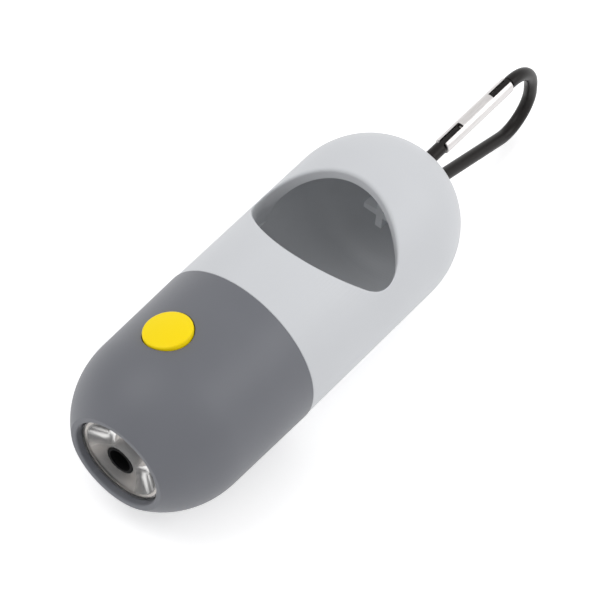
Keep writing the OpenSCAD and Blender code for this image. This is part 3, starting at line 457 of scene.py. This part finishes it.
# a rim turned in round the window covers the sleeve's cut edge, and its outer corner is rounded
rim = [(window["rimDepth"], window["rimOut"]), (bag["wall"] / 2, window["rimOut"])]
combine(shell, windowTool("windowRim", rim), "UNION")
edge, inset = window["edge"], window["inset"]
mouth = edge - inset + window["mouth"]
fillet = [(edge * (1 - sin(a)), edge * (1 - cos(a)) - inset)
          for a in (radians(90) * i / window["edgeSteps"] for i in range(window["edgeSteps"] + 1))]
cut = [(window["rimDepth"] + window["below"], -inset)] + fillet + [(-window["above"], mouth), (None, mouth)]
combine(shell, windowTool("windowHole", cut), "DIFFERENCE")
slotReach, halfSlot = footBend + clip["rodRadius"] + clip["slotGap"], bag["slotWidth"] / 2
slots = newPiece("slots", rod(slotReach, (barAlong, -halfSlot, barCentre[1]),
                              (barAlong, halfSlot, barCentre[1]), sides=bag["slotSides"]))
for swing in (-bag["swing"], 0, bag["swing"]):
    for legTurn, side in ((0, 1), (spineTurn + 90, -1)):
        halfSlot += bag["slotStep"]  # no two cuts share a side, so that the walls come out clean
        low, high = sorted((side * clip["barRadius"] / 2, side * (slotReach - bag["slotShort"])))
        spun = Matrix.Rotation(-radians(swing + legTurn), 4, "Y")
        strip = block((0, -halfSlot, low), (bag["stripLength"], halfSlot, high),
                      turn=Matrix.Translation((barAlong, 0, barCentre[1])) @ spun)
        combine(slots, newPiece("slotStrip", strip), "UNION")
combine(shell, slots, "DIFFERENCE")
bar = newPiece("hangBar", rod(clip["barRadius"], (barAlong, -bag["barHalf"], barCentre[1]),
                              (barAlong, bag["barHalf"], barCentre[1]), sides=bag["barSides"]))
under, domeFoot = bag["barUnder"], dome + bag["domeFoot"]  # the bar's ends stand inside the dome's wall
domeCurve = quarter(full - under, bag["domeHeight"] - under, dome, bag["domeSteps"])[2:]
domeSolid = turned([(domeFoot, 0), (domeFoot, full - bag["domeIn"])] + domeCurve, closed=False)
combine(bar, newPiece("domeSolid", domeSolid), "INTERSECT")
mergeInto(shell, bar)
finish(shell, "bag_half", "shell_light", softTouchLight, "bag_shell")
print("bag shell made")


# lens: a flange in the shell's pocket and a cone that narrows towards the lamp
lensEnd = lensBack + lens["depth"]
lensPiece = newPiece("lensBody", turned(
    [(lens["front"], lens["hole"]), (lens["front"], lens["radius"]), (lensBack, lens["radius"]),
     (lensBack, lens["radius"] - lens["rim"]), (lensEnd, lens["tail"]), (lensEnd, lens["hole"])],
    {0: lens["holeEdge"], 1: lens["frontEdge"]}))
finish(lensPiece, "torch_half", "lens_clear", lensClear, "lens")
print("lens made")


# carabiner: one rod bent from the hinge round the hang bar and on to the nose, tongued at each end
shoulder = barAlong + clip["shoulder"]
hinge = shoulder + clip["hinge"]
noseEnd = noseCentre[0]
latch = noseEnd - clip["latch"]


def frameShape():
    bm = bmesh.new()
    across = Matrix.Translation((shoulder, 0, gateHeight)) @ Matrix.Rotation(radians(90), 4, "Y")
    made = bmesh.ops.create_circle(bm, segments=clip["sides"], radius=clip["rodRadius"], matrix=across)
    rim = list({e for v in made["verts"] for e in v.link_edges})
    bmesh.ops.contextual_create(bm, geom=rim)
    for centre, bend, to, turn in ((barCentre, footBend, 90, 270 + spineTurn),
                                   (wideCentre, clip["wideBend"], 360 + spineTurn, endTurn - spineTurn),
                                   (noseCentre, clip["noseBend"], 360 + endTurn, 90 - endTurn)):
        at = Vector((centre[0] + bend * cos(radians(to)), 0, centre[1] + bend * sin(radians(to))))
        verts = list({v for e in rim for v in e.verts})
        middle = sum((v.co for v in verts), Vector()) / len(verts)
        grown = bmesh.ops.extrude_edge_only(bm, edges=rim)["geom"]
        moved = [g for g in grown if isinstance(g, bmesh.types.BMVert)]
        bmesh.ops.translate(bm, verts=moved, vec=at - middle)
        rim = [g for g in grown if isinstance(g, bmesh.types.BMEdge)]
        spun = bmesh.ops.spin(bm, geom=moved + rim, cent=(centre[0], 0, centre[1]), axis=(0, -1, 0),
                              angle=radians(turn), steps=ceil(turn / clip["bendStep"]))["geom_last"]
        rim = [g for g in spun if isinstance(g, bmesh.types.BMEdge)]
    bmesh.ops.contextual_create(bm, geom=rim)
    weld(bm)
    return bm


frameRod = newPiece("carabinerFrame", frameShape())
half, tall = clip["tongueThick"] / 2, clip["tongueHeight"]
low, high = gateHeight - tall / 2, gateHeight + tall / 2
hingeTongueEnd, noseTongueEnd = hinge + clip["tongue"], noseEnd - clip["noseTongue"]
for start, end in ((shoulder - clip["tongueRoot"], hingeTongueEnd),
                   (noseTongueEnd, noseEnd + clip["tongueRoot"])):
    tongue = block((start, -half, low), (end, half, high), clip["edge"])
    combine(frameRod, newPiece("tongue", tongue), "UNION")
notch = clip["notch"]
notchRound = rod(notch, (latch, -tall, gateHeight), (latch, tall, gateHeight))
combine(frameRod, newPiece("notch", notchRound), "DIFFERENCE")
way = notch - clip["notchSlack"]  # a hair narrower than the round of the notch
notchWay = block((latch - way, -tall, low - tall), (latch + way, tall, gateHeight + notch / 4))
combine(frameRod, newPiece("notchWay", notchWay), "DIFFERENCE")
finish(frameRod, "carabiner", "frame_black", anodisedBlack, "carabiner_frame")
print("carabiner made")


# gate: a tube with a slot at each end for the frame's tongues
gate = {"radius": 2.1, "gap": 0.65, "slot": 1.7, "slotEnd": 0.6, "slotPast": 2, "edge": 0.3}
gateStart, gateEnd = shoulder + gate["gap"], noseEnd - gate["gap"]
bar = newPiece("gateBar", rod(gate["radius"], (gateStart, 0, gateHeight), (gateEnd, 0, gateHeight),
                              gate["edge"]))
half, reach = gate["slot"] / 2, 2 * gate["radius"]
for start, end in ((gateStart - gate["slotPast"], hingeTongueEnd + gate["slotEnd"]),
                   (noseTongueEnd - gate["slotEnd"], gateEnd + gate["slotPast"])):
    slot = block((start, -half, gateHeight - reach), (end, half, gateHeight + reach))
    combine(bar, newPiece("slot", slot), "DIFFERENCE")
finish(bar, "gate_group", "gate_metal", turnedAluminium, "gate")
print("gate made")


# finishes of the CAD nodes that stay as they are
for material, names in {sealRubber: ("lens_seal", "neck_seal"), chrome: ("reflector",),
                        shroudBlack: ("led_shroud",), ledYellow: ("led",), wireSheath: ("lead_wires",),
                        boardGreen: ("led_board", "switch_board"), whitePlastic: ("switch_plunger",),
                        blackPlastic: ("battery_tray", "switch_body"), cellSteel: ("button_cells",),
                        collarPlastic: ("neck_collar", "battery_cover"), sleevePlastic: ("inner_sleeve",),
                        zincSteel: ("cover_screws", "tray_screws"), spindlePlastic: ("roll_spindle",),
                        nickelSteel: ("front_contact", "battery_spring", "rear_contact", "hinge_pin",
                                      "latch_pin", "gate_spring")}.items():
    for name in names:
        for holder in nodes[name].material_slots:
            holder.material = material
print("finishes set")


# floor and surroundings
stage = {"floorSize": 6.0, "floorColour": "#F4F4F4", "floorLift": 0.42, "fill": 0.76, "fillColour": "#FBFBFC"}


def seenRays(holder):  # 1 for what the camera sees, straight or by way of metal and glass
    ray = addNode(holder, "ShaderNodeLightPath")
    direct = addNode(holder, "ShaderNodeMath", {"operation": "MAXIMUM"},
                     {0: (ray, "Is Camera Ray"), 1: (ray, "Is Glossy Ray")})
    return addNode(holder, "ShaderNodeMath", {"operation": "MAXIMUM"},
                   {0: (direct, "Value"), 1: (ray, "Is Transmission Ray")})


# matt white paper, lifted to white for the eye, so that the shadow on it stays faint
floorMaterial = newMaterial("studioPaper")
paper = addNode(floorMaterial, "ShaderNodeBsdfDiffuse", {"Color": hexColour(stage["floorColour"])})
lift = addNode(floorMaterial, "ShaderNodeMath", {"operation": "MULTIPLY", 1: stage["floorLift"]},
               {0: (seenRays(floorMaterial), "Value")})
glow = addNode(floorMaterial, "ShaderNodeEmission", {"Color": (1, 1, 1, 1)}, {"Strength": (lift, "Value")})
both = addNode(floorMaterial, "ShaderNodeAddShader", None, {0: (paper, "BSDF"), 1: (glow, "Emission")})
addNode(floorMaterial, "ShaderNodeOutputMaterial", None, {"Surface": (both, "Shader")})
bm = bmesh.new()
bmesh.ops.create_grid(bm, x_segments=1, y_segments=1, size=stage["floorSize"] / 2)
floor = newPiece("floor", bm)
floor.data.materials.append(floorMaterial)

world = bpy.data.worlds.new("studio")
bpy.context.scene.world = world
world.use_nodes = True
world.node_tree.nodes.clear()
seen = addNode(world, "ShaderNodeBackground", {"Color": (1, 1, 1, 1), "Strength": 1.0})
unseen = addNode(world, "ShaderNodeBackground",
                 {"Color": hexColour(stage["fillColour"]), "Strength": stage["fill"]})
mix = addNode(world, "ShaderNodeMixShader", None,
              {"Fac": (seenRays(world), "Value"), 1: (unseen, "Background"), 2: (seen, "Background")})
addNode(world, "ShaderNodeOutputWorld", None, {"Surface": (mix, "Shader")})
print("floor and world made")


# lamps: sizes in metres, power in watts
lamps = {"aim": (0, 0, 0.02), "size": 0.8,
         "places": {"keyLamp": ((-0.35, 0.5, 1.1), 3.0), "sideLamp": ((0.75, -0.8, 0.7), 3.2)}}
for name, (place, watts) in lamps["places"].items():
    lamp = bpy.data.lights.new(name, "AREA")
    lamp.shape = "DISK"
    lamp.size = lamps["size"]
    lamp.energy = watts
    holder = bpy.data.objects.new(name, lamp)
    holder.location = place
    holder.rotation_euler = (Vector(lamps["aim"]) - Vector(place)).to_track_quat("-Z", "Y").to_euler()
    bpy.context.scene.collection.objects.link(holder)

# camera: where the photo's camera stood, with the picture's right and down in the shared frame
view = {"place": (-0.3796, -0.2469, 0.5992), "right": (0.6272, -0.7762, 0.0646),
        "down": (-0.5966, -0.5321, -0.6007), "lens": 186, "sensor": 36}
cameraData = bpy.data.cameras.new("photoCamera")
cameraData.lens = view["lens"]
cameraData.sensor_width = view["sensor"]
camera = bpy.data.objects.new("photoCamera", cameraData)
right, up = Vector(view["right"]).normalized(), -Vector(view["down"]).normalized()
back = right.cross(up)
camera.matrix_world = Matrix.Translation(view["place"]) @ Matrix((right, up, back)).transposed().to_4x4()
bpy.context.scene.collection.objects.link(camera)
bpy.context.scene.camera = camera
bpy.context.scene.view_settings.view_transform = "Standard"
print("lamps and camera made")
